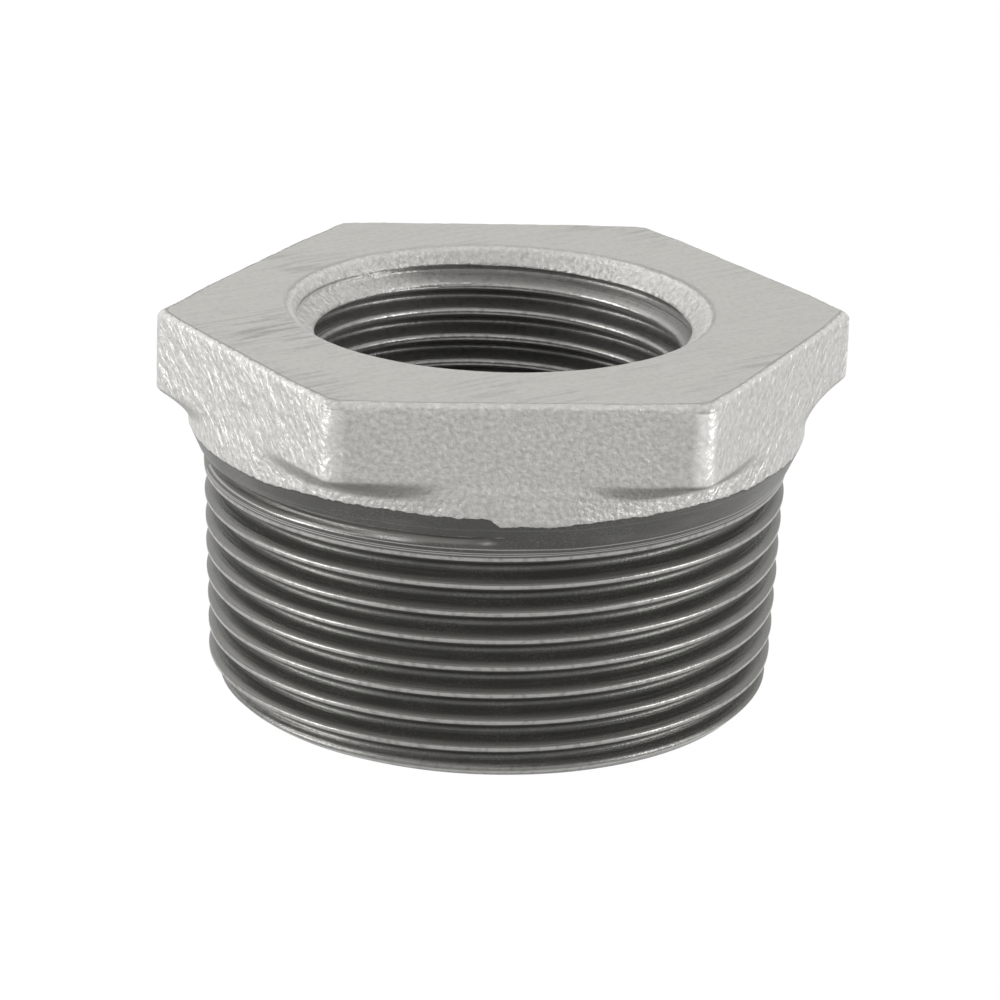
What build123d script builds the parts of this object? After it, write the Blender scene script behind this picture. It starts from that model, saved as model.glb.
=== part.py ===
from build123d import *

import os
from math import atan, ceil, cos, degrees, radians, tan

# Hexagon bushing of malleable iron, cast in one piece. A tapered pipe thread is cut on
# its outside and a smaller parallel pipe thread in its bore.
# Millimetres. The origin is the middle of the threaded end face, +Z points to the head,
# and one corner of the hexagon points along +X.

# Lengths along the axis
thread_length = 22.0
collar_height = 3.0
head_height = 6.8

# Head
across_flats = 50.2
short_side = 1.4  # one side of the casting lies this much nearer to the axis
short_side_angle = 150
corner_round = 1.3
top_round = 0.9
underside_round = 0.8
underside_drop = 2.9  # how far the slope under the corners reaches below the head
underside_draw = 3.2  # how far that slope draws in to the axis

# Collar between the head and the thread
collar_proud = 0.25  # the round collar stands this much outside the flats
collar_band = 1.9  # the collar's straight part, above its bevel
collar_bevel_angle = 18

# Both threads: Whitworth pipe form with 11 turns to the inch
pitch = 25.4 / 11
thread_depth = 0.640327 * pitch
flat_width = pitch / 6  # at a groove's bottom and at a ridge's top
half_flank_angle = 27.5
tool_flank = thread_depth + 0.2  # the flanks of the cutter run on past the ridges' tops
tool_shank = 1.4

# Taper thread on the outside, 1 in 16 on the diameter
gauge_diameter = 47.803
gauge_length = 12.7
taper = 1 / 16
end_chamfer = 1.25
last_groove = 3.127  # how far below the collar the last full groove ends
groove_side = 90  # the side that it ends on
run_out_turns = 0.49  # the last groove stops short on the -Y side
run_out_angle = 45
run_out_overlap = 12  # degrees that the run-out's cutter reaches back into the full groove
flare_length = 2.1  # where the thread's surface opens out to the collar

# Parallel thread in the bore
minor_diameter = 30.291
bored_below = 0.45  # the bored hole runs on this far below the thread
cored_diameter = 29.8  # the cast hole that's left below it
mouth_diameter = 34.8
mouth_round = 0.3
bore_chamfer = 0.8
inner_turns = 7.5
inner_groove = 1.12  # how far below the top face the last of these turns ends
inner_side = 180  # the side that it ends on
tap_lead_turns = 1
tap_lead_angle = 35

head_bottom = thread_length + collar_height
height = head_bottom + head_height
flat_distance = across_flats / 2
collar_radius = flat_distance + collar_proud
collar_bevel = collar_height - collar_band
collar_foot = collar_radius - collar_bevel * tan(radians(collar_bevel_angle))
slope = taper / 2
taper_angle = degrees(atan(slope))
bore_radius = minor_diameter / 2
female_start = height - inner_groove - inner_turns * pitch
lead_rise = tap_lead_turns * pitch
lead_start = female_start - lead_rise
bored_depth = height - lead_start + bored_below


def crest_radius(z):
    """Radius of the taper thread's ridges at a height above the end face."""
    return gauge_diameter / 2 + (z - gauge_length) * slope


def head_outline(plane, distance):
    """Hexagon with round corners on a plane, its flats at a distance from the axis."""
    with BuildSketch(plane) as outline:
        RegularPolygon(distance, 6, major_radius=False)
        with PolarLocations(distance - short_side, 1, start_angle=short_side_angle):
            Rectangle(distance, 2 * distance, align=(Align.MIN, Align.CENTER), mode=Mode.SUBTRACT)
        fillet(outline.vertices(), corner_round)
    return outline.sketch


def thread_tool(start, root, turns, lean, outward, side):
    """Cutter that winds up from a height and a root radius, narrow at the groove's bottom.

    lean is the helix's angle to the axis, and outward is 1 where the tool stands in from
    outside the metal and -1 where it stands out of a bore. side is the angle about the
    axis, from +X, at which it starts.
    """
    half_bottom = flat_width / 2
    half_top = half_bottom + tool_flank * tan(radians(half_flank_angle))
    shoulder = root + outward * tool_flank
    back = shoulder + outward * tool_shank
    with BuildPart() as tool:
        with BuildLine() as path:
            Helix(pitch / cos(radians(lean)), turns * pitch, root, center=(0, 0, start), cone_angle=lean)
        with BuildSketch(Plane.XZ):
            with BuildLine():
                Polyline(
                    (root, start - half_bottom),
                    (shoulder, start - half_top),
                    (back, start - half_top),
                    (back, start + half_top),
                    (shoulder, start + half_top),
                    (root, start + half_bottom),
                    close=True,
                )
            make_face()
        sweep(path=path.wire(), is_frenet=True)
    return Rot(0, 0, side) * tool.part


with BuildPart() as head:
    side_edge = head_outline(Plane.XY.offset(head_bottom), flat_distance)
    slope_end = head_outline(Plane.XY.offset(head_bottom - underside_drop), flat_distance - underside_draw)
    extrude(side_edge, amount=head_height)
    loft([side_edge, slope_end], ruled=True)
    fillet(head.faces().sort_by(Axis.Z)[-1].edges(), top_round)
    fillet(head.edges().filter_by_position(Axis.Z, head_bottom, head_bottom), underside_round)

with BuildPart() as collar:
    with BuildSketch(Plane.XZ):
        with BuildLine():
            Polyline(
                (0, thread_length),
                (collar_foot, thread_length),
                (collar_radius, thread_length + collar_bevel),
                (collar_radius, head_bottom),
                (0, head_bottom),
                close=True,
            )
        make_face()
    revolve(axis=Axis.Z)
    with BuildSketch(Plane.XY.offset(thread_length)):
        RegularPolygon(flat_distance, 6, major_radius=False)
    extrude(amount=head_bottom - thread_length, mode=Mode.INTERSECT)

with BuildPart() as shank:
    with BuildSketch(Plane.XZ):
        with BuildLine():
            Polyline(
                (0, 0),
                (crest_radius(0) - end_chamfer, 0),
                (crest_radius(end_chamfer), end_chamfer),
                (crest_radius(thread_length - flare_length), thread_length - flare_length),
                (collar_foot, thread_length),
                (0, thread_length),
                close=True,
            )
        make_face()
    revolve(axis=Axis.Z)

with BuildPart() as casting:
    add(head.part)
    add(collar.part)
    add(shank.part)
    with BuildSketch():
        Circle(cored_diameter / 2)
    extrude(amount=height, mode=Mode.SUBTRACT)
    foot_edges = casting.faces().sort_by(Axis.Z)[0].inner_wires().edges()
    chamfer(foot_edges, bore_chamfer)
    with BuildSketch(Plane.XY.offset(height)):
        Circle(bore_radius)
    extrude(amount=-bored_depth, mode=Mode.SUBTRACT)
    bore_edges = casting.faces().sort_by(Axis.Z)[-1].inner_wires().edges()
    chamfer(bore_edges, mouth_diameter / 2 - bore_radius)
    mouth_edges = casting.faces().sort_by(Axis.Z)[-1].inner_wires().edges()
    fillet(mouth_edges, mouth_round)

male_root = crest_radius(0) - thread_depth
male_end = thread_length - last_groove
full_turns = ceil(male_end / pitch)
male_start = male_end - full_turns * pitch
start_root = male_root + male_start * slope
outer_thread = thread_tool(male_start, start_root, full_turns, taper_angle, 1, groove_side)
run_out_back = run_out_overlap / 360
run_out_start = male_end - run_out_back * pitch
run_out_root = male_root + run_out_start * slope
run_out_side = groove_side - run_out_overlap
outer_run_out = thread_tool(
    run_out_start, run_out_root, run_out_turns + run_out_back, run_out_angle, 1, run_out_side
)

female_root = bore_radius + thread_depth
female_side = inner_side - inner_turns * 360
lead_root = female_root - lead_rise * tan(radians(tap_lead_angle))
lead_side = female_side - tap_lead_turns * 360
inner_thread = thread_tool(female_start, female_root, inner_turns, 0, -1, female_side)
inner_lead = thread_tool(lead_start, lead_root, tap_lead_turns, tap_lead_angle, -1, lead_side)

with BuildPart() as hex_bushing:
    add(casting.part)
    for cutter in (outer_thread, outer_run_out, inner_thread, inner_lead):
        add(cutter, mode=Mode.SUBTRACT)

hex_bushing.part.label = "hex_bushing"
os.makedirs("parts", exist_ok=True)
export_step(hex_bushing.part, "parts/hex_bushing.step")
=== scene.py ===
"""Looks of a galvanised malleable iron hex bushing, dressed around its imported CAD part.

The whole casting is one closed mesh in the CAD part's place. Its threads are spun along
their own helix, so the rows of faces follow every ridge, and its head is spun from a
profile and then drawn out to the hexagon. Shapes are worked out in millimetres and
scaled to metres at the end.
"""

import logging
from dataclasses import dataclass, field
from enum import Enum
from math import atan2, cos, degrees, exp, floor, hypot, pi, radians, sin, sqrt, tan
from typing import Callable

import bmesh
import bpy
from mathutils import Matrix, Vector, noise


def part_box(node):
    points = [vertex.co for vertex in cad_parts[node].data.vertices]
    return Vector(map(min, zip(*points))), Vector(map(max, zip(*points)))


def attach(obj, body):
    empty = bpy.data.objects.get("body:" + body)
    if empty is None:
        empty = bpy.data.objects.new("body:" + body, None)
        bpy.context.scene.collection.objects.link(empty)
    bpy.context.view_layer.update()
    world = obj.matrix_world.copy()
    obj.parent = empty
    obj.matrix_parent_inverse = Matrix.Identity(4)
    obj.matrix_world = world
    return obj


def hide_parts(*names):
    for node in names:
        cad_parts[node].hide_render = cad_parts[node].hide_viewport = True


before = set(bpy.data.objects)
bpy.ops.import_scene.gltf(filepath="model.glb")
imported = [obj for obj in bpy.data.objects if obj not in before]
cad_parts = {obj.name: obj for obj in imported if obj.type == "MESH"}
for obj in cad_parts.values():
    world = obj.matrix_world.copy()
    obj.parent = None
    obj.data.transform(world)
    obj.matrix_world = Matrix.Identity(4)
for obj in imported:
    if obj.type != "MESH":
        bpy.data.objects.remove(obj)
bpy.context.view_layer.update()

LOG = logging.getLogger("hex_bushing")
NODE = "hex_bushing"
MM = 0.001
TURN = 2 * pi
SEAM = radians(86)  # the spun strips close at the back of the bushing
FLATS = 6
FAR = 1e9  # a radius that nothing reaches
STRIP_RADIUS = 20.0  # where a strip is spun, before it gets its shape
MERGE_DISTANCE = 0.004  # millimetres

Point = tuple[float, float, float]
Range = tuple[float, float]
Colour = tuple[float, float, float, float]
Strip = bmesh.types.BMesh
Socket = bpy.types.NodeSocket
Outputs = bpy.types.NodeOutputs


def smooth_max(a: float, b: float, width: float) -> float:
    """The larger of two values, blended where they differ by less than width.

    Args:
        a: First value.
        b: Second value.
        width: Difference at which the blend begins.

    Returns:
        The blended maximum.
    """
    near = max(width - abs(a - b), 0.0) / width
    return max(a, b) + near * near * width / 4


def smooth_min(a: float, b: float, width: float) -> float:
    """The smaller of two values, blended where they differ by less than width."""
    return -smooth_max(-a, -b, width)


def ramp(value: float, start: float, end: float) -> float:
    """A smooth step from 0 at start to 1 at end."""
    share = min(max((value - start) / (end - start), 0.0), 1.0)
    return share * share * (3 - 2 * share)


def turned(angle: float) -> float:
    """An angle brought into the range from minus half a turn to half a turn."""
    return (angle + pi) % TURN - pi


def place_object(name: str, data: bpy.types.ID) -> bpy.types.Object:
    """Links a new object that holds some data to the scene."""
    thing = bpy.data.objects.new(name, data)
    bpy.context.scene.collection.objects.link(thing)
    return thing


class Layer(Enum):
    """Values that the mesh carries for its material, one float a vertex."""

    CUT = "cut"  # millimetres by which the cutting tool went below the cast skin
    RIDGE = "ridge"  # 0 at a groove's bottom and 1 at a ridge's top
    WORN_AND_HIGHLIGHT = "worn"  # bright metal on the ridges: partly wear, partly a painted highlight; in the bore also painted light
    TOP = "ground"  # the ground top face
    EDGE = "edge"  # the head's rounded edges, coloured lighter: partly wear, partly a painted highlight
    FILM_AND_PAINTED_SHADE = "film"  # how far cut metal shows through a thin film of zinc; on the bore's coated turn it also holds painted shade along the upper flank
    LAND = "land"  # pitches above the last ridge, or -1 off the wide land there


@dataclass
class Spot:
    """Where a vertex goes, in millimetres, and what its material layers hold."""

    radius: float
    height: float
    cut: float = -1.0
    ridge: float = 1.0
    worn: float = 0.0
    ground: float = 0.0
    edge: float = 0.0
    film: float = 0.0
    land: float = -1.0

    def layer(self, layer: Layer) -> float:
        """The value for one of the material layers."""
        return getattr(self, layer.value)


@dataclass(frozen=True)
class CastSkin:
    """Uneven surface of the casting, as a height above its true form."""

    lump: float = 0.055
    lump_size: float = 3.4
    grain: float = 0.028
    grain_size: float = 1.15

    def height(self, x: float, y: float, z: float) -> float:
        """Millimetres by which the skin stands out at a point.

        Args:
            x: Place along X in millimetres.
            y: Place along Y.
            z: Place along Z.

        Returns:
            The skin's height, positive outwards.
        """
        place = Vector((x, y, z))
        lumps = noise.noise(place / self.lump_size)
        grains = noise.noise(place / self.grain_size)
        return self.lump * lumps + self.grain * grains


@dataclass
class CastHead:
    """The hexagon head with its slanting underside, and the round collar below it."""

    height: float
    flat_distance: float
    head_depth: float = 6.8
    corner_round: float = 1.3
    top_round: float = 0.5
    corner_top_round: float = 0.35  # added to the top's round at the corners
    foot_round: float = 0.35
    side_turn: float = radians(60)
    first_flat: float = radians(30)
    flat_offsets: tuple[float, ...] = (0.08, -0.04, -1.6, 0.06, -0.12, 0.18)
    # Each corner's lower edge, and how far below it the underside meets the collar
    foot_heights: tuple[float, ...] = (26.15, 25.2, 25.2, 25.05, 25.2, 25.0)
    foot_drops: tuple[float, ...] = (3.05, 2.0, 2.0, 2.1, 1.8, 1.5)
    # How much lighter each corner's edge is coloured: partly wear, partly a painted highlight.
    corner_wear_and_highlight: tuple[float, ...] = (0.6, 0.5, 0.5, 0.4, 0.45, 1.0)
    flat_foot: float = 25.35  # the same between the corners
    flat_drop: float = 1.5
    corner_reach: Range = (0.1, 0.4)  # share of a side over which a corner's foot fades out
    corner_top_reach: float = 0.2
    cove: float = 1.5
    collar_radius: float = 25.38
    collar_flat: float = 0.1
    collar_least_offset: float = -0.12  # the collar doesn't follow a flat further in than this
    collar_blend: float = 0.2
    collar_draw: float = 3.0  # the collar ends above the ledge by going in, out of sight
    ledge: float = 0.4
    least_facing: float = 0.2  # cosine from which a flat counts at an angle
    corner_crowding: float = 0.45
    mouth_radius: float = 17.33
    mouth_shift: float = 0.5
    mouth_side: float = radians(86)
    mouth_round: float = 0.55
    mouth_skin: float = 0.6  # the bevel's skin is shallower and finer than the rest
    mouth_grain: float = 2.0
    top_wave: float = 0.02
    top_wave_size: float = 6.0
    skin: CastSkin = field(default_factory=CastSkin)

    @property
    def foot(self) -> float:
        """Height of the hexagon's lower edge."""
        return self.height - self.head_depth

    def flat_normal(self, index: int) -> float:
        """Angle about the axis that one of the six flats faces."""
        return self.first_flat + index * self.side_turn

    def nearest_flat(self, angle: float) -> int:
        """Number of the flat that an angle about the axis falls on."""
        return floor((angle - self.first_flat) / self.side_turn + 0.5) % FLATS

    def outline(self, angle: float, inset: float) -> float:
        """Radius of the hexagon with its round corners.

        Args:
            angle: Angle about the axis.
            inset: How far the flats are drawn in.

        Returns:
            Distance from the axis to the outline at that angle.
        """
        reach = []
        for index in range(FLATS):
            facing = cos(angle - self.flat_normal(index))
            distance = self.flat_distance + self.flat_offsets[index] - inset
            reach.append(distance / facing if facing > self.least_facing else FAR)
        nearest = min(range(FLATS), key=reach.__getitem__)
        corners = [self._corner(angle, nearest, (nearest + step) % FLATS, inset) for step in (-1, 1)]
        return min(reach[nearest], *corners)

    def _corner(self, angle: float, flat: int, other: int, inset: float) -> float:
        """Radius on the round corner between two flats.

        Args:
            angle: Angle about the axis.
            flat: Number of the flat nearest to that angle.
            other: Number of the flat beyond the corner.
            inset: How far the flats are drawn in.

        Returns:
            The radius, or a large value where the angle lies off the corner's round.
        """
        rounding = self.corner_round
        a, b = self.flat_normal(flat), self.flat_normal(other)
        da = self.flat_distance + self.flat_offsets[flat] - inset - rounding
        db = self.flat_distance + self.flat_offsets[other] - inset - rounding
        cross = cos(a) * sin(b) - sin(a) * cos(b)
        cx = (da * sin(b) - db * sin(a)) / cross
        cy = (db * cos(a) - da * cos(b)) / cross
        along = cx * cos(angle) + cy * sin(angle)
        inside = along * along - cx * cx - cy * cy + rounding * rounding
        if inside <= 0:
            return FAR
        radius = along + sqrt(inside)
        px, py = radius * cos(angle) - cx, radius * sin(angle) - cy
        between = abs(turned(atan2(py, px) - a)) + abs(turned(atan2(py, px) - b))
        return radius if between <= self.side_turn + 1e-6 else FAR

    def crowded(self, angle: float, share: float) -> float:
        """An angle moved towards the nearest corner, so that corners get more columns.

        Args:
            angle: Angle about the axis.
            share: How much of the move is made, from 0 to 1.

        Returns:
            The new angle.
        """
        corner = floor(angle / self.side_turn + 0.5) * self.side_turn
        off = angle - corner
        part = off / (self.side_turn / 2)
        moved = off * (self.corner_crowding + (1 - self.corner_crowding) * part * part)
        return corner + off + (moved - off) * share

    def underside(self, angle: float) -> tuple[float, float]:
        """Height at which the underside begins, and how far below it the collar takes over.

        Args:
            angle: Angle about the axis.

        Returns:
            The height and the drop.
        """
        corner = floor(angle / self.side_turn + 0.5)
        off = abs(angle / self.side_turn - corner)
        near = 1 - ramp(off, *self.corner_reach)
        top = self.flat_foot + (self.foot_heights[corner % FLATS] - self.flat_foot) * near
        drop = self.flat_drop + (self.foot_drops[corner % FLATS] - self.flat_drop) * near
        return top, drop

    def top_inset(self, angle: float, z: float) -> float:
        """How far the round at the top has drawn the outline in.

        Args:
            angle: Angle about the axis.
            z: Height above the threaded end.

        Returns:
            The inset, 0 below the round.
        """
        off = abs((angle / self.side_turn + 0.5) % 1 - 0.5)
        rounding = self.top_round + self.corner_top_round * (1 - ramp(off, 0.0, self.corner_top_reach))
        above = min(max(z - self.height + rounding, 0.0), rounding)
        return rounding - sqrt(rounding * rounding - above * above)

    def collar(self, angle: float) -> float:
        """Radius of the round collar, cut off by the flats."""
        index = self.nearest_flat(angle)
        facing = cos(angle - self.flat_normal(index))
        offset = max(self.flat_offsets[index], self.collar_least_offset)
        flat = self.flat_distance + offset + self.collar_flat
        return smooth_min(self.collar_radius, flat / facing, self.collar_blend)

    def side(self, angle: float, z: float) -> float:
        """Cast radius of the head's side, its underside and the collar.

        Args:
            angle: Angle about the axis.
            z: Height above the threaded end.

        Returns:
            The radius with the skin's unevenness.
        """
        top, drop = self.underside(angle)
        share = min(smooth_max(top - z, 0.0, self.foot_round) / drop, 1.0)
        hexagon = self.outline(angle, self.top_inset(angle, z))
        collar = self.collar(angle)
        sloped = hexagon - max(hexagon - collar, 0.0) * (1 - (1 - share) ** self.cove)
        collar -= self.collar_draw * ramp(z, self.foot - self.ledge / 2, self.foot + self.ledge)
        radius = smooth_max(sloped, collar, self.collar_blend)
        return radius + self.skin.height(radius * cos(angle), radius * sin(angle), z)

    def mouth(self, angle: float) -> float:
        """Radius at which the mouth's bevel meets the top face; it is cast off centre."""
        return self.mouth_radius + self.mouth_shift * cos(angle - self.mouth_side)

    def mouth_bevel(self, angle: float, z: float) -> float:
        """Radius of the mouth's bevel at a height, with its rough skin."""
        radius = self.mouth(angle) - (self.height - z)
        finer = self.mouth_grain
        rough = self.skin.height(finer * radius * cos(angle), finer * radius * sin(angle), finer * z)
        return radius + self.mouth_skin * rough

    def top_height(self, angle: float, radius: float) -> float:
        """Height of the top face and of the mouth's rounded rim at a radius."""
        place = Vector((radius * cos(angle), radius * sin(angle), 0)) / self.top_wave_size
        fall = smooth_max(self.mouth(angle) - radius, 0.0, self.mouth_round)
        return self.height + self.top_wave * noise.noise(place) - fall


@dataclass
class PipeThread:
    """Whitworth pipe thread: what both of the bushing's threads share."""

    pitch: float = 25.4 / 11
    depth: float = 0.640327 * 25.4 / 11
    half_flank: float = radians(27.5)
    first_groove: float = 0.0  # height of one groove's middle at angle 0
    columns: int = 240
    rows: tuple[float, ...] = (0.0, 0.5)  # shares of a pitch above a ridge, for the mesh

    def groove(self, turns: float) -> float:
        """Height of the groove's middle after a number of turns from angle 0."""
        return self.first_groove + turns * self.pitch

    def winds(self, angle: float, z: float) -> float:
        """Pitches between a place and the first groove at its angle; whole in a groove."""
        return (z - self.first_groove) / self.pitch - angle / TURN

    def turns_near(self, angle: float, z: float) -> tuple[float, float]:
        """Turns counted along the helix for the two grooves nearest to a height."""
        low = floor(self.winds(angle, z))
        return low + angle / TURN, low + 1 + angle / TURN

    def flank_reach(self, off: float) -> float:
        """How far a flank stands from the groove's flat bottom, a sixth of the pitch wide."""
        return max(abs(off) - self.pitch / 12, 0.0) / tan(self.half_flank)


@dataclass
class OutsideThread(PipeThread):
    """Taper thread with its end bevel, its run-out and the turned cone above it."""

    first_groove: float = -0.18
    gauge_radius: float = 47.803 / 2
    gauge_length: float = 12.7
    slope: float = 1 / 32
    end_bevel: float = 1.2
    end_bevel_round: float = 0.7
    cone_start: float = 19.34
    cone_slope: float = 0.442
    cone_blend: float = 0.12
    full_turns: float = 8.25
    last_turn: float = 8.742
    run_out_rise: float = 0.97
    run_out_lift: float = 0.4
    run_out_fade: float = 0.33
    run_out_fade_start: float = 0.7
    last_ridge: float = 8.5  # turns at which the last ridge runs, below the wide land
    land_reach: Range = (0.02, 1.2)  # pitches above that ridge
    land_side: float = radians(172)  # the land's layer stops short of where the angle wraps
    # Angle in degrees, and the height at which the cone meets the collar there
    meetings: tuple[Range, ...] = (
        (-180, 22.4), (-134, 22.42), (-116, 22.65), (-94.4, 22.56), (-93.5, 21.93),
        (-84, 21.92), (-71, 22.16), (-53, 22.28), (-37, 22.4), (180, 22.4),
    )
    crest_wear: float = 0.05
    crest_wear_size: float = 12.0
    crest_wear_scale: float = 3.1
    crest_round: float = 0.2
    line_width: float = 0.095  # of the bright line on a ridge, as a share of the pitch: partly wear, partly a painted highlight
    line_end: Range = (-0.1, 0.3)  # where that line fades out, off the cone's start
    edge_width: float = 0.07  # of the bright edge along the run-out: partly wear, partly a painted highlight
    edge_rise: float = 0.5
    foot_shine: float = 0.45
    foot_band: Range = (0.8, 1.35)
    columns: int = 336
    rows: tuple[float, ...] = (
        0.0, 0.045, 0.0833, 0.13, 0.22, 0.32, 0.4167, 0.5, 0.5833, 0.68, 0.78, 0.87, 0.9167, 0.955,
    )

    def crest(self, z: float) -> float:
        """Radius of the ridges' tops."""
        return self.gauge_radius + (z - self.gauge_length) * self.slope

    def meeting(self, angle: float) -> float:
        """Height at which the cone runs out on the collar."""
        here = degrees(turned(angle))
        for (start, low), (end, high) in zip(self.meetings, self.meetings[1:]):
            if here <= end:
                return low + (high - low) * (here - start) / (end - start)
        return self.meetings[-1][1]

    def envelope(self, angle: float, z: float, head: CastHead) -> float:
        """Radius of the blank before its grooves: thread taper, cone and end bevel.

        Args:
            angle: Angle about the axis.
            z: Height above the threaded end.
            head: The cast head, whose collar the cone runs up to.

        Returns:
            The radius.
        """
        cone = head.collar(angle) + (z - self.meeting(angle)) * self.cone_slope
        blank = self.crest(z)
        if z > self.cone_start:
            blank = smooth_max(blank, cone, self.cone_blend)
        bevel = self.crest(0) - self.end_bevel + z
        return smooth_min(blank, bevel, self.end_bevel_round)

    def tool(self, turns: float, z: float) -> float:
        """Radius that one pass of the cutting tool leaves at a height.

        Args:
            turns: Where the pass is along the helix.
            z: Height above the threaded end.

        Returns:
            The radius, or a large value past the thread's last turn.
        """
        if turns > self.last_turn:
            return FAR
        over = max(turns - self.full_turns, 0.0)
        share = over / (self.last_turn - self.full_turns)
        middle = self.groove(turns) + self.run_out_lift * share
        rise = self.run_out_rise * (1 + self.run_out_fade * ramp(share, self.run_out_fade_start, 1.0))
        root = self.crest(middle) - self.depth + over * self.pitch * rise
        return root + self.flank_reach(z - middle)

    def spot(self, angle: float, z: float, head: CastHead) -> Spot:
        """Surface of the shank at an angle and a height.

        Args:
            angle: Angle about the axis.
            z: Height above the threaded end.
            head: The cast head, whose collar the cone runs up to.

        Returns:
            The place and the material layers.
        """
        angle = turned(angle)
        blank = self.envelope(angle, z, head)
        grooves = min(self.tool(turns, z) for turns in self.turns_near(angle, z))
        place = Vector((cos(angle), sin(angle), z / self.crest_wear_size)) * self.crest_wear_scale
        uneven = self.crest_wear * noise.noise(place)
        surface = smooth_min(blank + uneven, grooves, self.crest_round)
        cast = head.side(angle, z)
        depth_here = min(max((self.crest(z) - surface) / self.depth, 0.0), 1.0)
        worn = self.wear_and_highlight_line(angle, z, grooves - blank)
        land = self.winds(angle, z) - self.last_ridge
        if abs(angle) > self.land_side or not self.land_reach[0] < land < self.land_reach[1]:
            land = -1.0
        radius = min(surface, cast)
        return Spot(radius, z, cut=cast - surface, ridge=1 - depth_here, worn=worn, land=land)

    def wear_and_highlight_line(self, angle: float, z: float, clear: float) -> float:
        """How bright the metal is coloured, partly for wear and partly as a painted highlight: on the
        ridges, along the run-out's edge and near the end.

        Args:
            angle: Angle about the axis.
            z: Height above the threaded end.
            clear: How far the nearest groove's surface lies outside the blank.

        Returns:
            0 for dull metal up to 1 for a bright ridge.
        """
        off = abs(self.winds(angle, z) % 1 - 0.5)
        ridge = 1 - ramp(off, self.line_width / 2, self.line_width)
        above = ramp(z, *(self.cone_start + end for end in self.line_end))
        on_cone = ramp(z, self.cone_start, self.cone_start + self.edge_rise)
        edge = exp(-((clear / self.edge_width) ** 2)) * on_cone
        foot = self.foot_shine * (1 - ramp(z, *self.foot_band))
        return max(ridge * (1 - above), edge, foot)


@dataclass
class BoreThread(PipeThread):
    """Parallel thread in the bore, with its tap lead and its start in the mouth."""

    first_groove: float = 13.36
    minor_radius: float = 30.291 / 2
    lead_turns: float = 1.0
    lead_rise: float = 0.7
    end_turns: float = 7.5
    end_fade: float = 0.12
    crest_round: float = 0.09
    coat_start: float = radians(106)  # the thread's last turn still carries zinc from here
    coat_full: float = radians(132)
    coat_end: float = radians(300)
    coat_margin: float = radians(14)
    coat_turns: float = 6.43
    coat_cut: float = -0.3  # what the cut layer holds under the zinc
    film_depth: float = 0.06
    # Painted shade: a dark line along the upper flank of the coated turn.
    shade_depth: Range = (0.08, 0.3)
    shade_film: float = 0.8
    worn_ridge: float = 0.85
    # Painted light: the shaded bore's whole surface is lifted towards the bright crest colour.
    shine: float = 0.34
    rows: tuple[float, ...] = (
        0.0, 0.0833, 0.15, 0.24, 0.33, 0.4167, 0.5, 0.5833, 0.67, 0.76, 0.85, 0.9167,
    )

    def tool(self, turns: float, z: float) -> float:
        """Radius that one pass of the tap reaches at a height, or 0 outside its turns."""
        if turns < -self.lead_turns or turns > self.end_turns + self.end_fade:
            return 0.0
        root = self.minor_radius + self.depth
        root += min(turns, 0.0) * self.pitch * self.lead_rise
        root -= self.depth * ramp(turns, self.end_turns, self.end_turns + self.end_fade)
        return root - self.flank_reach(z - self.groove(turns))

    def spot(self, angle: float, z: float, head: CastHead) -> Spot:
        """Surface of the bore at an angle and a height.

        Args:
            angle: Angle about the axis.
            z: Height above the threaded end.
            head: The cast head, whose mouth bevels the bore.

        Returns:
            The place and the material layers.
        """
        angle = turned(angle)
        grooves = max(self.tool(turns, z) for turns in self.turns_near(angle, z))
        threaded = smooth_max(self.minor_radius, grooves, self.crest_round)
        bevel = head.mouth_bevel(angle, z)
        surface = max(threaded, bevel)
        ridge = 1 - min(max((threaded - self.minor_radius) / self.depth, 0.0), 1.0)
        # The shine floor is painted light on the shaded bore wall.
        worn = max(ramp(ridge, self.worn_ridge, 1.0), self.shine)
        cut, film = threaded - bevel, 0.0
        angle %= TURN
        if self.coated(angle, z, self.coat_margin):
            film = ramp(cut, 0.0, self.film_depth)
        if self.coated(angle, z):
            bare = 1 - ramp(angle, self.coat_start, self.coat_full)
            upper = z > self.groove(self.end_turns - 0.5 + angle / TURN)
            # painted shade along the coated turn's upper flank
            in_shade = self.shade_film * ramp(cut, *self.shade_depth) * upper
            cut, film = self.coat_cut, film * max(bare, in_shade)
        return Spot(surface, z, cut=cut, ridge=ridge, worn=worn, film=film)

    def coated(self, angle: float, z: float, margin: float = 0.0) -> bool:
        """Whether a place is on the last turn, which was cut before the dip."""
        above = self.winds(angle, z) > self.coat_turns
        return above and self.coat_start - margin < angle < self.coat_end


class Zone(Enum):
    """Stretches of the head's profile, from the collar to the mouth."""

    SIDE = "side"
    TOP_ROUND = "top round"
    TOP = "top"
    MOUTH = "mouth"


def spaced(start: float, end: float, count: int) -> list[float]:
    """Evenly spaced values from start to end, both included."""
    return [start + (end - start) * step / (count - 1) for step in range(count)]


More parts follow.
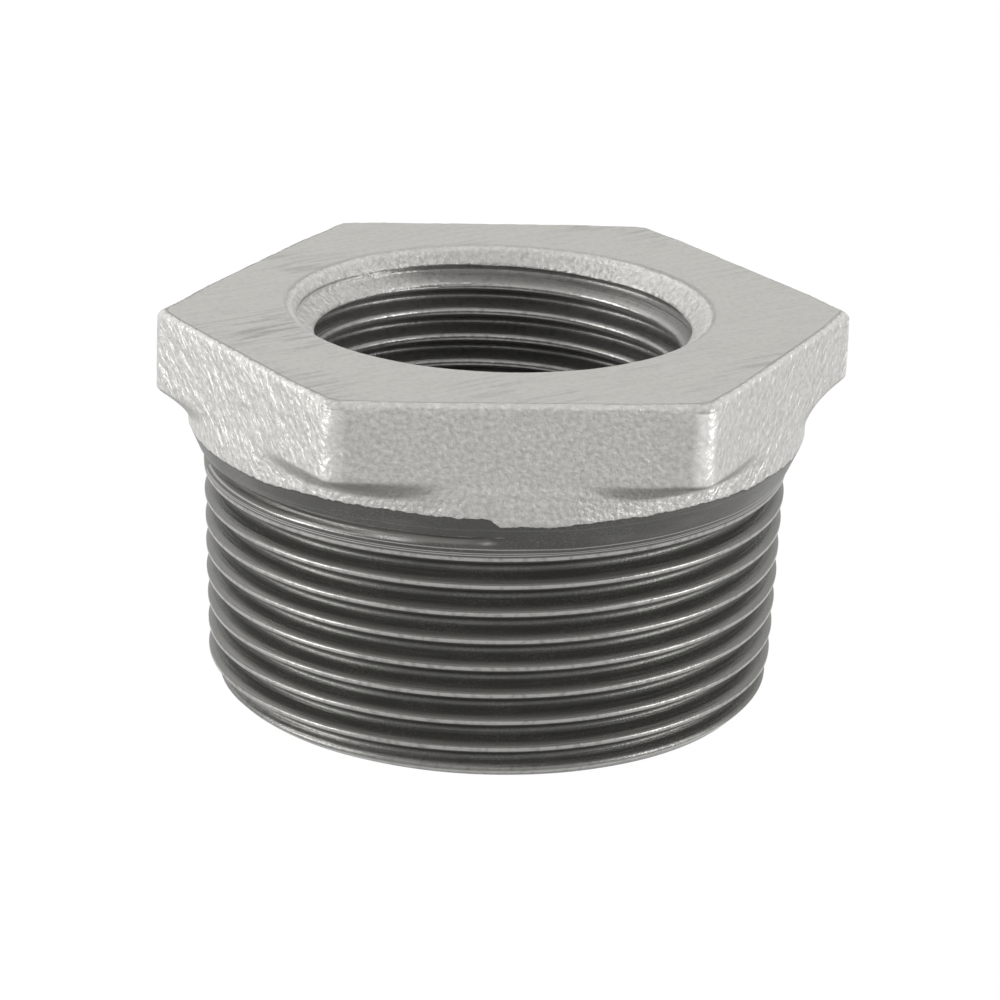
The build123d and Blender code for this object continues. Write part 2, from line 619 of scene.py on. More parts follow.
def spin_profile(profile: list[tuple[float, float]], columns: int, rise: float) -> Strip:
    """Spins an open profile once about the axis.

    Args:
        profile: Radius and height of each point, in millimetres.
        columns: Number of steps round the axis.
        rise: How far the profile climbs in the turn; its far side meets itself there.

    Returns:
        The strip, with each vertex's number in the profile in its "station" layer.
    """
    bm = bmesh.new()
    station = bm.verts.layers.float.new("station")
    for layer in Layer:
        bm.verts.layers.float.new(layer.value)
    radius, height = profile[0]
    tip = bmesh.ops.create_vert(bm, co=(radius * cos(SEAM), radius * sin(SEAM), height))["vert"][0]
    for number, (radius, height) in enumerate(profile[1:], start=1):
        tip = bmesh.ops.extrude_vert_indiv(bm, verts=[tip])["verts"][0]
        tip.co = (radius * cos(SEAM), radius * sin(SEAM), height)
        tip[station] = number
    bmesh.ops.spin(
        bm,
        geom=bm.verts[:] + bm.edges[:],
        cent=(0, 0, 0),
        axis=(0, 0, 1),
        dvec=(0, 0, rise / columns),
        angle=TURN,
        steps=columns,
        use_merge=rise == 0,
    )
    bmesh.ops.remove_doubles(bm, verts=bm.verts[:], dist=MERGE_DISTANCE)
    return bm


def shape_strip(
    bm: Strip,
    place: Callable[[float, float, int], Spot],
    turn: Callable[[float, int], float] = lambda angle, _: angle,
) -> None:
    """Moves each vertex of a strip to its true place and fills its material layers.

    Args:
        bm: A strip from spin_profile.
        place: Gives the Spot for an angle, a height and a station.
        turn: Gives the angle that a vertex moves to, for its angle and station.
    """
    station = bm.verts.layers.float["station"]
    layers = {layer: bm.verts.layers.float[layer.value] for layer in Layer}
    for vert in bm.verts:
        number = round(vert[station])
        angle = turn(atan2(vert.co.y, vert.co.x), number)
        spot = place(angle, vert.co.z, number)
        vert.co = (spot.radius * cos(angle), spot.radius * sin(angle), spot.height)
        for layer, key in layers.items():
            vert[key] = spot.layer(layer)


def trim(bm: Strip, low: float, high: float) -> None:
    """Cuts a strip off level at two heights and drops what lies outside them."""
    for height, below in ((low, True), (high, False)):
        bmesh.ops.bisect_plane(
            bm,
            geom=bm.verts[:] + bm.edges[:] + bm.faces[:],
            dist=1e-4,
            plane_co=(0, 0, height),
            plane_no=(0, 0, 1),
            clear_inner=below,
            clear_outer=not below,
        )


@dataclass
class Bushing:
    """The whole casting: shank, head and bore, joined into one closed mesh."""

    head: CastHead
    outside: OutsideThread = field(default_factory=OutsideThread)
    bore: BoreThread = field(default_factory=BoreThread)
    columns: int = 360
    cutter_end: Range = (22.95, 23.4)  # the cone's tool turns away from the casting here
    cutter_lift: float = 3.0
    corner_width: Range = (0.02, 0.08)  # of the corners coloured lighter for wear and a painted highlight, as a share of half a side
    corner_wear_start: Range = (24.0, 26.0)
    chip_depth: float = 0.03
    chip_scales: Range = (1.3, 3.1)
    rim_width: float = 0.5  # of the strip of the top face around the mouth
    # How much the mouth's rim is coloured lighter: partly wear, partly a painted highlight.
    rim_edge: float = 0.2
    ground_from: float = 1.2  # angle round the worn round from which the top's finish begins
    collar_joint: float = 22.85
    bore_foot: float = 10.62
    mouth_joint: float = 0.42  # how far below the top the bore's strip ends
    seam_gap: float = 0.06
    rim_reach: float = 0.25  # height within which a rim's edges are looked for
    bore_bevel: float = 0.8
    cored_radius: float = 14.9
    face_radii: tuple[float, ...] = (16.1, 17.4, 18.8, 20.2, 21.4, 22.1)

    def thread_strip(self, thread: OutsideThread | BoreThread, low: float, high: float) -> Strip:
        """One thread, between two heights, with a row of vertices on each ridge.

        Args:
            thread: The thread that the rows follow.
            low: Height of the strip's lower rim.
            high: Height of its upper rim.

        Returns:
            The finished strip.
        """
        ridge = thread.groove(SEAM / TURN) + thread.pitch / 2
        first = floor((low - ridge) / thread.pitch) - 1
        last = floor((high - ridge) / thread.pitch) + 1
        heights = [ridge + (n + row) * thread.pitch for n in range(first, last) for row in thread.rows]
        bm = spin_profile([(STRIP_RADIUS, height) for height in heights], thread.columns, thread.pitch)
        shape_strip(bm, lambda angle, z, _: thread.spot(angle, z, self.head))
        trim(bm, low, high)
        return bm

    def head_stations(self) -> list[tuple[Zone, float]]:
        """Stations of the head's profile, each with its zone and its value there."""
        head = self.head
        turn_in = head.height - head.top_round
        stations = [(Zone.SIDE, z) for z in spaced(self.collar_joint + self.seam_gap, head.foot + 1.6, 20)]
        stations += [(Zone.SIDE, z) for z in spaced(head.foot + 2.0, turn_in - 0.15, 10)]
        stations += [(Zone.TOP_ROUND, radians(a)) for a in (0, 18, 36, 54, 72, 90)]
        stations += [(Zone.TOP, share) for share in spaced(0.03, 1.0, 16)]
        stations += [(Zone.MOUTH, depth) for depth in (0.35, 0.2, 0.08, -0.04, -0.16, -0.28)]
        return stations

    def side_spot(self, angle: float, z: float) -> Spot:
        """Surface of the collar, the underside and the flats.

        Args:
            angle: Angle about the axis, already crowded towards the corners.
            z: Height above the threaded end.

        Returns:
            The place and the material layers.
        """
        head = self.head
        radius = head.side(angle, z)
        cutter = self.outside.envelope(angle, z, head) + self.cutter_lift * ramp(z, *self.cutter_end)
        corner = abs((angle / head.side_turn + 0.5) % 1 - 0.5) * 2
        # Corners coloured lighter: partly wear, partly a painted highlight.
        wear_and_highlight = head.corner_wear_and_highlight[floor(angle / head.side_turn + 0.5) % FLATS]
        edge = wear_and_highlight * (1 - ramp(corner, *self.corner_width)) * ramp(z, *self.corner_wear_start)
        return Spot(radius, z, cut=max(radius - cutter, -1.0), edge=edge)

    def round_spot(self, angle: float, slant: float) -> Spot:
        """Surface of the worn round between the flats and the top face.

        Args:
            angle: Angle about the axis, already crowded towards the corners.
            slant: Angle round the round, 0 at the flats and a quarter turn at the top.

        Returns:
            The place and the material layers.
        """
        head = self.head
        height = head.height - head.top_round * (1 - sin(slant))
        radius = head.outline(angle, head.top_inset(angle, height))
        place = Vector((radius * cos(angle), radius * sin(angle), head.height))
        chips = sum(self.chip_depth * noise.noise(place * scale) for scale in self.chip_scales)
        radius += (chips + head.skin.height(*place)) * cos(slant)
        height += chips * sin(slant) * (slant < pi / 2)
        # The edge layer lightens the round: partly wear, partly a painted highlight.
        return Spot(radius, height, edge=sin(2 * slant) / 3, ground=ramp(slant, self.ground_from, pi / 2))

    def head_strip(self) -> Strip:
        """Collar, underside, flats, top face and the upper half of the mouth's bevel."""
        head = self.head
        stations = self.head_stations()
        profile = [(STRIP_RADIUS + number, 0.0) for number in range(len(stations))]
        bm = spin_profile(profile, self.columns, 0.0)

        def turn(angle: float, number: int) -> float:
            """Crowds the columns towards the corners, and back again across the top."""
            zone, value = stations[number]
            if zone is Zone.SIDE:
                return head.crowded(angle, ramp(value, self.collar_joint, head.foot))
            if zone is Zone.TOP_ROUND:
                return head.crowded(angle, 1.0)
            if zone is Zone.TOP:
                return head.crowded(angle, 1.0 - value)
            return angle

        def place(angle: float, _: float, number: int) -> Spot:
            """Puts a vertex on its stretch of the head."""
            zone, value = stations[number]
            if zone is Zone.SIDE:
                return self.side_spot(angle, value)
            if zone is Zone.TOP_ROUND:
                return self.round_spot(angle, value)
            mouth = head.mouth(angle)
            inner = mouth + self.rim_width
            if zone is Zone.TOP:
                outer = head.outline(angle, head.top_inset(angle, head.height))
                radius = outer + (inner - outer) * value
            else:
                radius = mouth + value
            height = head.top_height(angle, radius)
            flat = ramp(radius, mouth, inner)
            if zone is Zone.MOUTH:
                radius += head.mouth_bevel(angle, height) - (mouth - (head.height - height))
            return Spot(radius, height, ground=flat, edge=self.rim_edge * (1 - flat))

        shape_strip(bm, place, turn)
        return bm

    def foot_strip(self) -> Strip:
        """Plain lower bore, its small bevel and the end face."""
        radius, bevel = self.cored_radius, self.bore_bevel
        low = self.bore_foot - self.seam_gap
        profile = [(radius, z) for z in spaced(low, bevel + 0.1, 9)]
        profile += [(radius + bevel * share, bevel * (1 - share)) for share in (0.06, 0.35, 0.65, 0.94)]
        profile += [(face, 0.0) for face in self.face_radii]
        bm = spin_profile(profile, self.bore.columns, 0.0)

        def place(_: float, z: float, number: int) -> Spot:
            """Keeps a vertex on the spun profile and marks it as cut metal."""
            ridge, worn = (0.9, 0.5) if z < 1e-6 else (0.6, 0.1)
            return Spot(profile[number][0], z, cut=1.0, ridge=ridge, worn=worn)

        shape_strip(bm, place)
        return bm

    def build(self) -> bpy.types.Object:
        """Joins the strips into one closed mesh.

        Returns:
            The finished object, in metres.
        """
        mouth_rim = self.head.height - self.mouth_joint
        shank = self.thread_strip(self.outside, 0.0, self.collar_joint)
        bore = self.thread_strip(self.bore, self.bore_foot, mouth_rim)
        whole = bmesh.new()
        for strip in (shank, self.head_strip(), bore, self.foot_strip()):
            part = bpy.data.meshes.new("strip")
            strip.to_mesh(part)
            strip.free()
            whole.from_mesh(part)
            bpy.data.meshes.remove(part)
        joints = (
            (self.collar_joint, 20.0, 30.0),
            (mouth_rim, 14.0, 20.0),
            (self.bore_foot, 14.0, 18.0),
            (0.0, 20.0, 24.0),
        )
        for height, inner, outer in joints:
            self._close(whole, height, inner, outer)
        bmesh.ops.recalc_face_normals(whole, faces=whole.faces[:])
        bmesh.ops.scale(whole, vec=(MM, MM, MM), verts=whole.verts[:])
        for face in whole.faces:
            face.smooth = True
        mesh = bpy.data.meshes.new("bushing_casting")
        whole.to_mesh(mesh)
        whole.free()
        return place_object("bushing_casting", mesh)

    def _close(self, bm: Strip, height: float, inner: float, outer: float) -> None:
        """Bridges the two open rims that lie near a height and between two radii.

        Args:
            bm: The joined strips, still in millimetres.
            height: Height of the gap between the rims.
            inner: Radius inside them.
            outer: Radius outside them.
        """
        rims = []
        for edge in bm.edges:
            if not edge.is_boundary:
                continue
            middle = (edge.verts[0].co + edge.verts[1].co) / 2
            near = abs(middle.z - height) < self.rim_reach
            if near and inner < hypot(middle.x, middle.y) < outer:
                rims.append(edge)
        bmesh.ops.bridge_loops(bm, edges=rims)


class NodeSketch:
    """Adds nodes to a tree, and sets or links their inputs in the same call."""

    def __init__(self, tree: bpy.types.NodeTree) -> None:
        """Keeps the tree that the nodes go into."""
        self.tree = tree

    @classmethod
    def cleared(cls, owner: bpy.types.Material | bpy.types.World) -> "NodeSketch":
        """Starts on the emptied node tree of a material or a world."""
        owner.use_nodes = True
        owner.node_tree.nodes.clear()
        return cls(owner.node_tree)

    def add(self, kind: str, inputs: dict | None = None, **settings: object) -> bpy.types.Node:
        """Adds one node.

        Args:
            kind: Blender's name for the node type.
            inputs: Values or sockets for its inputs, by name or number.
            settings: Values for its own properties.

        Returns:
            The new node.
        """
        node = self.tree.nodes.new(kind)
        for name, value in settings.items():
            setattr(node, name, value)
        for key, value in (inputs or {}).items():
            socket = node.inputs[key]
            if isinstance(value, Socket):
                self.tree.links.new(value, socket)
            else:
                socket.default_value = value
        return node

    def math(self, operation: str, first: object, second: object = 0.0, clamp: bool = False) -> Socket:
        """Adds a Math node and returns its result."""
        inputs = {0: first, 1: second}
        return self.add("ShaderNodeMath", inputs, operation=operation, use_clamp=clamp).outputs[0]

    def times(self, first: object, second: object) -> Socket:
        """Multiplies two values and returns the result."""
        return self.math("MULTIPLY", first, second)

    def plus(self, first: object, second: object) -> Socket:
        """Adds two values and returns the result."""
        return self.math("ADD", first, second)

    def minus(self, first: object, second: object) -> Socket:
        """Takes the second value from the first and returns the result."""
        return self.math("SUBTRACT", first, second)

    def stretch(self, value: object, source: Range, to_low: float = 0.0, to_high: float = 1.0) -> Socket:
        """Maps a range smoothly on to another and returns the result."""
        inputs = {"Value": value, "From Min": source[0], "From Max": source[1]}
        inputs.update({"To Min": to_low, "To Max": to_high})
        return self.add("ShaderNodeMapRange", inputs, interpolation_type="SMOOTHSTEP").outputs["Result"]

    def noise(self, place: object, scale: float, detail: float = 2.0) -> Socket:
        """Adds a Noise Texture and returns its value."""
        inputs = {"Vector": place, "Scale": scale, "Detail": detail}
        return self.add("ShaderNodeTexNoise", inputs).outputs["Fac"]

    def blend(self, share: object, first: object, second: object) -> Socket:
        """Mixes two colours and returns the result."""
        inputs = {0: share, 6: first, 7: second}
        return self.add("ShaderNodeMix", inputs, data_type="RGBA").outputs[2]

    def mix(self, share: object, first: object, second: object) -> Socket:
        """Mixes two values and returns the result."""
        inputs = {0: share, 2: first, 3: second}
        return self.add("ShaderNodeMix", inputs, data_type="FLOAT").outputs[0]

    def place(self) -> Socket:
        """Place on the piece in millimetres."""
        inputs = {0: self.add("ShaderNodeTexCoord").outputs["Object"], "Scale": 1 / MM}
        return self.add("ShaderNodeVectorMath", inputs, operation="SCALE").outputs[0]

    def scaled(self, place: Socket, shares: Point) -> Socket:
        """Stretches a place along the three axes and returns the result."""
        inputs = {0: place, 1: shares}
        return self.add("ShaderNodeVectorMath", inputs, operation="MULTIPLY").outputs[0]

    def rotated(self, place: Socket, angle: object) -> Socket:
        """Turns a place about the piece's axis and returns the result."""
        inputs = {"Vector": place, "Angle": angle}
        return self.add("ShaderNodeVectorRotate", inputs, rotation_type="Z_AXIS").outputs[0]

    def parts(self, vector: Socket) -> Outputs:
        """The three parts of a vector."""
        return self.add("ShaderNodeSeparateXYZ", {0: vector}).outputs


class SurfaceGroup:
    """A shader node group with named inputs and outputs, built once and shared."""

    name = ""
    inputs: dict[str, float] = {}
    outputs: tuple[str, ...] = ()

    def __init__(self) -> None:
        """Makes the group's tree and fills it."""
        self.tree = bpy.data.node_groups.new(self.name, "ShaderNodeTree")
        for name, value in self.inputs.items():
            socket = self.tree.interface.new_socket(name, in_out="INPUT", socket_type="NodeSocketFloat")
            socket.default_value = value
        for name in self.outputs:
            self.tree.interface.new_socket(name, in_out="OUTPUT", socket_type="NodeSocketFloat")
        sketch = NodeSketch(self.tree)
        given = sketch.add("NodeGroupInput").outputs
        sketch.add("NodeGroupOutput", self.fill(sketch, given, sketch.place()))

    def fill(self, sketch: NodeSketch, given: Outputs, place: Socket) -> dict[str, Socket]:
        """Builds the effect.

        Args:
            sketch: Adds the nodes to the group's tree.
            given: Sockets of the group's inputs, by name.
            place: Place on the piece in millimetres.

        Returns:
            The sockets of the group's outputs, by name.
        """
        raise NotImplementedError


class CastTexture(SurfaceGroup):
    """Zinc over a cast skin: leaning ripples on the sides, grains, pits and mottling."""

    name = "cast_texture"
    inputs = {"Ripple": 2.4, "Grain": 1.5, "Pits": 0.5, "Beads": 0.0}
    outputs = ("Height", "Mottle", "Pit", "Ragged")
    lean = 0.0013  # radians round, for each millimetre to the side and up
    head_middle = 28.0
    ripple_shape = (1.0, 1.0, 0.75)
    ripple_sides = (10.0, 15.0)  # the ripples grow over these distances from the middle
    pit_rim = (0.2, 0.32)
    pit_places = (0.54, 0.64)

    def fill(self, sketch: NodeSketch, given: Outputs, place: Socket) -> dict[str, Socket]:
        """Builds the effect and returns the sockets of its outputs by name."""
        parts = sketch.parts(place)
        above = sketch.minus(parts[2], self.head_middle)
        leaned = sketch.rotated(place, sketch.times(sketch.times(parts[0], -self.lean), above))
        drawn = sketch.scaled(leaned, self.ripple_shape)
        wavy = sketch.noise(drawn, 0.6)
        ripple = sketch.plus(sketch.noise(drawn, 1.05), sketch.times(wavy, 0.5))
        sideways = sketch.stretch(sketch.math("ABSOLUTE", parts[0]), self.ripple_sides, 0.1, 1.0)
        ripple_height = sketch.times(sketch.times(ripple, given["Ripple"]), sideways)
        grain = sketch.noise(place, 2.6, 4.0)
        calmer = sketch.minus(1.1, sketch.times(sideways, 0.6))
        grain_height = sketch.times(sketch.times(grain, given["Grain"]), calmer)
        bent = sketch.plus(sketch.noise(place, 2.2), sketch.times(parts[2], 0.4))
        cells = sketch.add("ShaderNodeTexVoronoi", {"Vector": place, "Scale": 1.15}).outputs["Distance"]
        hole = sketch.stretch(sketch.plus(cells, sketch.times(bent, 0.02)), self.pit_rim, 1.0, 0.0)
        sparse = sketch.stretch(sketch.noise(place, 0.45), self.pit_places)
        pit = sketch.times(sketch.times(hole, sparse), given["Pits"])
        bead = sketch.times(sketch.noise(place, 1.25, 1.0), given["Beads"])
        raised = sketch.plus(sketch.plus(ripple_height, grain_height), bead)
        mottle = sketch.plus(sketch.noise(place, 2.2, 5.0), sketch.times(grain, 0.6))
        return {
            "Height": sketch.minus(raised, pit),
            "Mottle": sketch.math("DIVIDE", mottle, 1.6),
            "Pit": pit,
            "Ragged": sketch.noise(place, 1.4, 3.0),
        }


class GroundTexture(SurfaceGroup):
    """Long shallow streaks that a grinding belt left on the top face."""

    name = "ground_texture"
    outputs = ("Height", "Streak")
    streak_angle = radians(32)
    streak_shape = (0.1, 0.9, 1.0)
    worn_place = (-18.0, -7.0, 31.8)
    worn_reach = (2.0, 8.5)

    def fill(self, sketch: NodeSketch, given: Outputs, place: Socket) -> dict[str, Socket]:
        """Builds the effect and returns the sockets of its outputs by name."""
        drawn = sketch.scaled(sketch.rotated(place, -self.streak_angle), self.streak_shape)
        fine = sketch.noise(drawn, 1.7, 4.0)
        ends = {0: place, 1: self.worn_place}
        away = sketch.add("ShaderNodeVectorMath", ends, operation="DISTANCE").outputs["Value"]
        patches = sketch.stretch(sketch.noise(place, 0.1), (0.46, 0.62), 0.1, 0.5)
        patches = sketch.math("MAXIMUM", patches, sketch.stretch(away, self.worn_reach, 0.75, 0.0))
        streak = sketch.times(sketch.stretch(fine, (0.42, 0.68)), patches)
        speckle = sketch.times(sketch.stretch(sketch.noise(place, 2.4, 4.0), (0.4, 0.75)), 0.22)
        return {"Height": fine, "Streak": sketch.plus(streak, speckle)}


class CutTexture(SurfaceGroup):
    """Lines that a thread tool leaves along its grooves, and the grime that stays in them."""

    name = "cut_texture"
    inputs = {"Ridge": 1.0}
    outputs = ("Height", "Line", "Speck")
    along = 0.035  # the lines are drawn out by this share along the groove

    def fill(self, sketch: NodeSketch, given: Outputs, place: Socket) -> dict[str, Socket]:
        """Builds the effect and returns the sockets of its outputs by name."""
        parts = sketch.parts(place)
        across = sketch.plus(sketch.times(given["Ridge"], 2.6), sketch.times(parts[2], 0.25))
        sides = {axis: sketch.times(parts[axis], self.along) for axis in (0, 1)}
        drawn = sketch.add("ShaderNodeCombineXYZ", {**sides, 2: across}).outputs[0]
        line = sketch.noise(drawn, 3.4, 3.0)
        speckle = sketch.noise(place, 6.5)
        patch = sketch.stretch(sketch.noise(place, 0.3), (0.4, 0.62), 0.35, 1.0)
        return {
            "Height": sketch.plus(line, sketch.times(speckle, 0.8)),
            "Line": line,
            "Speck": sketch.times(sketch.stretch(speckle, (0.42, 0.7)), patch),
        }


@dataclass(frozen=True)
class ZincFinish:
    """Colours and roughness of the galvanised skin."""

    light: Colour = (0.54, 0.531, 0.507, 1)
    dark: Colour = (0.385, 0.379, 0.359, 1)
    pit: Colour = (0.24, 0.235, 0.22, 1)
    ground: Colour = (0.5, 0.493, 0.463, 1)
    streak: Colour = (0.25, 0.247, 0.235, 1)
    # Lighter zinc on the rounded edges: partly wear, partly a painted highlight.
    edge: Colour = (0.88, 0.87, 0.84, 1)
    edge_wear_and_highlight_share: float = 0.7
    edge_beads: float = 2.0
    # Painted shade: zinc that faces downwards is darkened towards this colour.
    painted_underside_shade: Colour = (0.24, 0.236, 0.222, 1)
    painted_underside_shade_share: float = 0.75
    painted_underside_shade_slopes: Range = (-0.55, -0.12)  # vertical part of the normal
    mottling: Range = (0.32, 0.68)
    raggedness: float = 0.22  # millimetres by which the cut's edge wavers
    roughness: float = 0.44
    ground_roughness: float = 0.5
    metallic: float = 0.35
    bump: float = 0.00014
    ground_bump: float = 0.25


@dataclass(frozen=True)
class CutFinish:
    """Colours and roughness of the bare metal in the threads."""

    # Darker deep in the grooves and lighter up towards the ridges: partly residue, partly painted shade.
    root: Colour = (0.075, 0.074, 0.068, 1)
    flank: Colour = (0.055, 0.054, 0.048, 1)
    shoulder: Colour = (0.135, 0.133, 0.122, 1)
    # Bright crest colour: on the ridges partly wear, partly a painted highlight; also the land's tool
    # lines.
    crest: Colour = (0.35, 0.345, 0.33, 1)
    band: Colour = (0.06, 0.059, 0.054, 1)
    speck: Colour = (0.14, 0.138, 0.127, 1)
    flank_start: Range = (0.02, 0.12)  # where each takes over, from root to ridge
    shoulder_start: Range = (0.55, 0.85)
    band_start: Range = (0.94, 0.99)
    line_share: float = 0.4
    speck_share: float = 0.55
    land_lines: tuple[Range, ...] = ((0.15, 0.95), (0.22, 0.8), (0.37, 0.9))  # place, brightness
    land_line_width: Range = (0.006, 0.03)
    roughness: float = 0.36
    crest_roughness: float = 0.32
    metallic: float = 0.45
    crest_metallic: float = 0.7
    bump: float = 0.00004


class BushingMaterial:
    """One material for the whole casting: zinc skin, ground top and cut threads."""

    def __init__(self, zinc: ZincFinish, cut: CutFinish) -> None:
        """Keeps the two finishes and starts the material's nodes."""
        self.zinc = zinc
        self.cut = cut
        self.material = bpy.data.materials.new("galvanised_iron")
        self.sketch = NodeSketch.cleared(self.material)
        self.layers = {layer: self._layer(layer) for layer in Layer}

    def build(self) -> bpy.types.Material:
        """Builds the node tree.

        Returns:
            The finished material.
        """
        sketch, zinc, cut, layers = self.sketch, self.zinc, self.cut, self.layers
        beads = sketch.times(layers[Layer.EDGE], zinc.edge_beads)
        cast = self._textured(CastTexture(), {"Beads": beads})
        ground = self._textured(GroundTexture(), {})
        lines = self._textured(CutTexture(), {"Ridge": layers[Layer.RIDGE]})

        ragged = sketch.times(sketch.minus(cast["Ragged"], 0.5), zinc.raggedness)
        is_cut = sketch.stretch(sketch.plus(layers[Layer.CUT], ragged), (0.0, 0.03))
        is_cut = sketch.math("MAXIMUM", is_cut, layers[Layer.FILM_AND_PAINTED_SHADE])
        is_ground = layers[Layer.TOP]
        colour = sketch.blend(is_cut, self._zinc_colour(cast, ground), self._cut_colour(lines))

        zinc_rough = sketch.mix(is_ground, zinc.roughness, zinc.ground_roughness)
        cut_rough = sketch.mix(layers[Layer.WORN_AND_HIGHLIGHT], cut.roughness, cut.crest_roughness)
        cut_metal = sketch.mix(layers[Layer.WORN_AND_HIGHLIGHT], cut.metallic, cut.crest_metallic)

        ground_height = sketch.times(ground["Height"], zinc.ground_bump)
        cast_height = sketch.mix(is_ground, cast["Height"], ground_height)
        cut_height = sketch.times(lines["Height"], cut.bump / zinc.bump)
        height = sketch.mix(is_cut, cast_height, cut_height)
        bump = sketch.add("ShaderNodeBump", {"Strength": 1.0, "Distance": zinc.bump, "Height": height})

        shader = sketch.add(
            "ShaderNodeBsdfPrincipled",
            {
                "Base Color": colour,
                "Roughness": sketch.mix(is_cut, zinc_rough, cut_rough),
                "Metallic": sketch.mix(is_cut, zinc.metallic, cut_metal),
                "Normal": bump.outputs[0],
            },
        )
        sketch.add("ShaderNodeOutputMaterial", {"Surface": shader.outputs[0]})
        return self.material

    def _layer(self, layer: Layer) -> Socket:
        """Reads one of the mesh's layers."""
        return self.sketch.add("ShaderNodeAttribute", attribute_name=layer.value).outputs["Fac"]

    def _textured(self, group: SurfaceGroup, inputs: dict[str, Socket]) -> Outputs:
        """Adds a texture group, linked to its inputs, and returns its outputs."""
        node = self.sketch.add("ShaderNodeGroup", node_tree=group.tree)
        for name, socket in inputs.items():
            self.sketch.tree.links.new(socket, node.inputs[name])
        return node.outputs

    def _zinc_colour(self, cast: Outputs, ground: Outputs) -> Socket:
        """Colour of the zinc skin and of the ground top face.

        Args:
            cast: What CastTexture puts out.
            ground: What GroundTexture puts out.

        Returns:
            The colour.
        """
        sketch, zinc = self.sketch, self.zinc
        colour = sketch.blend(sketch.stretch(cast["Mottle"], zinc.mottling), zinc.dark, zinc.light)
        colour = sketch.blend(cast["Pit"], colour, zinc.pit)
        # Edges lightened: partly wear, partly a painted highlight.
        edge_wear_and_highlight = sketch.times(self.layers[Layer.EDGE], zinc.edge_wear_and_highlight_share)
        colour = sketch.blend(edge_wear_and_highlight, colour, zinc.edge)
        # Painted shade on zinc that faces downwards.
        down = sketch.parts(sketch.add("ShaderNodeNewGeometry").outputs["Normal"])[2]
        painted_underside_shade = sketch.stretch(down, zinc.painted_underside_shade_slopes, zinc.painted_underside_shade_share, 0.0)
        colour = sketch.blend(painted_underside_shade, colour, zinc.painted_underside_shade)
        top_colour = sketch.blend(ground["Streak"], zinc.ground, zinc.streak)
        return sketch.blend(self.layers[Layer.TOP], colour, top_colour)

    def _cut_colour(self, lines: Outputs) -> Socket:
        """Colour of the threads, from the dark grooves to the bright ridges.

        Args:
            lines: What CutTexture puts out.

        Returns:
            The colour.
        """
        sketch, cut = self.sketch, self.cut
        ridge = self.layers[Layer.RIDGE]
        # Darker deep in the grooves, lighter towards the ridges: partly residue, partly painted shade.
        colour = sketch.blend(sketch.stretch(ridge, cut.flank_start), cut.root, cut.flank)
        colour = sketch.blend(sketch.stretch(ridge, cut.shoulder_start), colour, cut.shoulder)
        colour = sketch.blend(sketch.stretch(ridge, cut.band_start), colour, cut.band)
        faint = sketch.times(sketch.stretch(lines["Line"], (0.5, 0.75)), cut.line_share)
        colour = sketch.blend(faint, colour, cut.shoulder)
        colour = sketch.blend(sketch.times(lines["Speck"], cut.speck_share), colour, cut.speck)
        for place, bright in cut.land_lines:
            off = sketch.math("ABSOLUTE", sketch.minus(self.layers[Layer.LAND], place))
            shine = sketch.stretch(off, cut.land_line_width, bright, 0.0)
            colour = sketch.blend(shine, colour, cut.crest)
        # The ridges' bright line: partly wear, partly a painted highlight.
        broken = sketch.stretch(sketch.noise(sketch.place(), 1.7, 3.0), (0.3, 0.55), 0.6, 1.0)
        return sketch.blend(sketch.times(self.layers[Layer.WORN_AND_HIGHLIGHT], broken), colour, cut.crest)


@dataclass
class SoftBox:
    """One soft studio lamp."""

    name: str
    place: Point
    size: float
    power: float

    def build(self, aim: Vector) -> None:
        """Adds the lamp, turned to a point."""
        data = bpy.data.lights.new(self.name, "AREA")
        data.shape, data.size, data.energy = "SQUARE", self.size, self.power
        lamp = place_object(self.name, data)
        lamp.location = self.place
        lamp.rotation_euler = (aim - lamp.location).to_track_quat("-Z", "Y").to_euler()


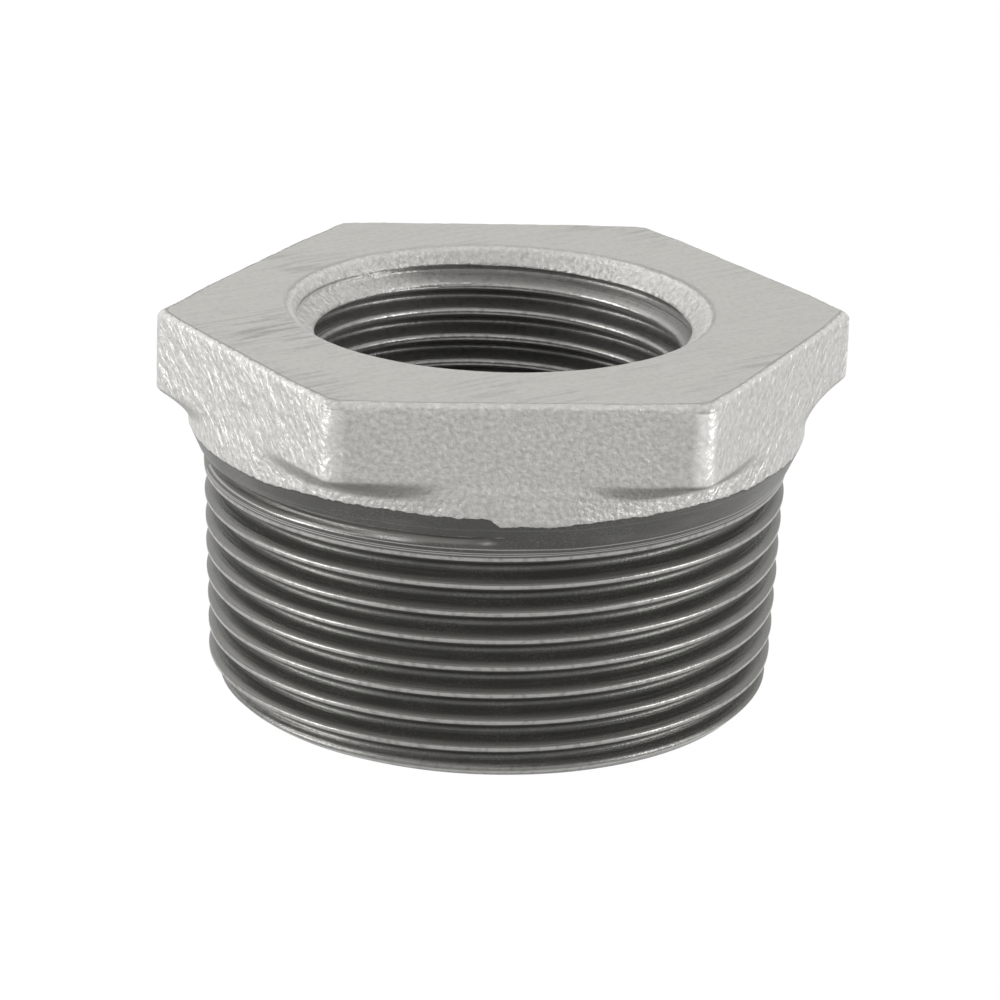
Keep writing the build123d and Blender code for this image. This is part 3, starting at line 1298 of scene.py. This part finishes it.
@dataclass
class Studio:
    """Pale floor, white surroundings, soft lamps and the photograph's camera."""

    camera_place: Point = (-0.02105, -0.28728, 0.12050)
    camera_heading: float = radians(85.70)
    camera_dip: float = radians(20.12)
    camera_roll: float = radians(1.92)
    lens: float = 132.466
    sensor: float = 36.0
    surround: float = 0.23
    floor_size: float = 3.0
    floor_paint: Colour = (0.55, 0.55, 0.55, 1)
    floor_glow: float = 1.08
    floor_glow_share: float = 0.9
    lamps: tuple[SoftBox, ...] = (
        SoftBox("left_softbox", (-0.672, -0.143, 0.17), 0.3, 4.5),
        SoftBox("right_softbox", (0.631, -0.252, 0.16), 0.28, 3.6),
        SoftBox("front_softbox", (-0.1, -0.85, 0.40), 0.4, 0.6),
        SoftBox("upper_left_softbox", (-0.318, 0.379, 0.51), 0.4, 1.0),
        SoftBox("upper_right_softbox", (0.34, 0.35, 0.55), 0.4, 0.8),
    )

    def build(self, aim: Vector) -> None:
        """Builds the studio around a point that the lamps are turned to."""
        self._camera()
        self._world()
        self._floor()
        for lamp in self.lamps:
            lamp.build(aim)
        bpy.context.scene.view_settings.view_transform = "Standard"

    def _camera(self) -> None:
        """Stands the camera where the photograph was taken from."""
        data = bpy.data.cameras.new("camera")
        data.lens, data.sensor_width = self.lens, self.sensor
        data.clip_start, data.clip_end = 0.01, 20.0
        camera = place_object("camera", data)
        heading, dip = self.camera_heading, self.camera_dip
        ahead = Vector((cos(heading) * cos(dip), sin(heading) * cos(dip), -sin(dip)))
        level = ahead.cross(Vector((0, 0, 1))).normalized()
        upward = level.cross(ahead)
        right = level * cos(self.camera_roll) + upward * sin(self.camera_roll)
        up = upward * cos(self.camera_roll) - level * sin(self.camera_roll)
        turn = Matrix((right, up, -ahead)).transposed().to_4x4()
        camera.matrix_world = Matrix.Translation(Vector(self.camera_place)) @ turn
        bpy.context.scene.camera = camera

    def _seen(self, sketch: NodeSketch) -> Socket:
        """1 for rays that show the surroundings, straight or in a reflection."""
        rays = sketch.add("ShaderNodeLightPath").outputs
        seen = sketch.plus(rays["Is Camera Ray"], rays["Is Glossy Ray"])
        return sketch.math("ADD", seen, rays["Is Transmission Ray"], clamp=True)

    def _world(self) -> None:
        """White to the camera and in reflections, softer as a light."""
        world = bpy.data.worlds.new("studio")
        bpy.context.scene.world = world
        sketch = NodeSketch.cleared(world)
        strength = sketch.mix(self._seen(sketch), self.surround, 1.0)
        shade = sketch.add("ShaderNodeBackground", {"Color": (1, 1, 1, 1), "Strength": strength})
        sketch.add("ShaderNodeOutputWorld", {"Surface": shade.outputs[0]})

    def _floor(self) -> None:
        """A pale floor that keeps a soft shadow under the bushing."""
        bm = bmesh.new()
        bmesh.ops.create_grid(bm, x_segments=1, y_segments=1, size=self.floor_size / 2)
        mesh = bpy.data.meshes.new("floor")
        bm.to_mesh(mesh)
        bm.free()
        floor_piece = place_object("floor", mesh)
        material = bpy.data.materials.new("pale_floor")
        sketch = NodeSketch.cleared(material)
        paint = sketch.add("ShaderNodeBsdfDiffuse", {"Color": self.floor_paint})
        glow = sketch.add("ShaderNodeEmission", {"Color": (1, 1, 1, 1), "Strength": self.floor_glow})
        share = sketch.times(self._seen(sketch), self.floor_glow_share)
        both = sketch.add("ShaderNodeMixShader", {0: share, 1: paint.outputs[0], 2: glow.outputs[0]})
        sketch.add("ShaderNodeOutputMaterial", {"Surface": both.outputs[0]})
        mesh.materials.append(material)


def count_open_edges(piece: bpy.types.Object) -> int:
    """Number of edges of a piece's mesh that don't join exactly two faces."""
    bm = bmesh.new()
    bm.from_mesh(piece.data)
    count = sum(1 for edge in bm.edges if len(edge.link_faces) != 2)
    bm.free()
    return count


def main() -> None:
    """Builds the bushing, dresses it and sets up the studio."""
    logging.basicConfig(level=logging.INFO, format="%(name)s: %(message)s")
    low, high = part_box(NODE)
    head = CastHead(height=high.z / MM, flat_distance=(high.y - low.y) / 2 / MM)
    bushing = Bushing(head)
    piece = bushing.build()
    piece.data.materials.append(BushingMaterial(ZincFinish(), CutFinish()).build())
    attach(piece, "root")
    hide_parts(NODE)
    faces, open_edges = len(piece.data.polygons), count_open_edges(piece)
    LOG.info("%s has %d faces and %d open edges", piece.name, faces, open_edges)
    Studio().build((low + high) / 2)


if __name__ == "__main__":
    main()
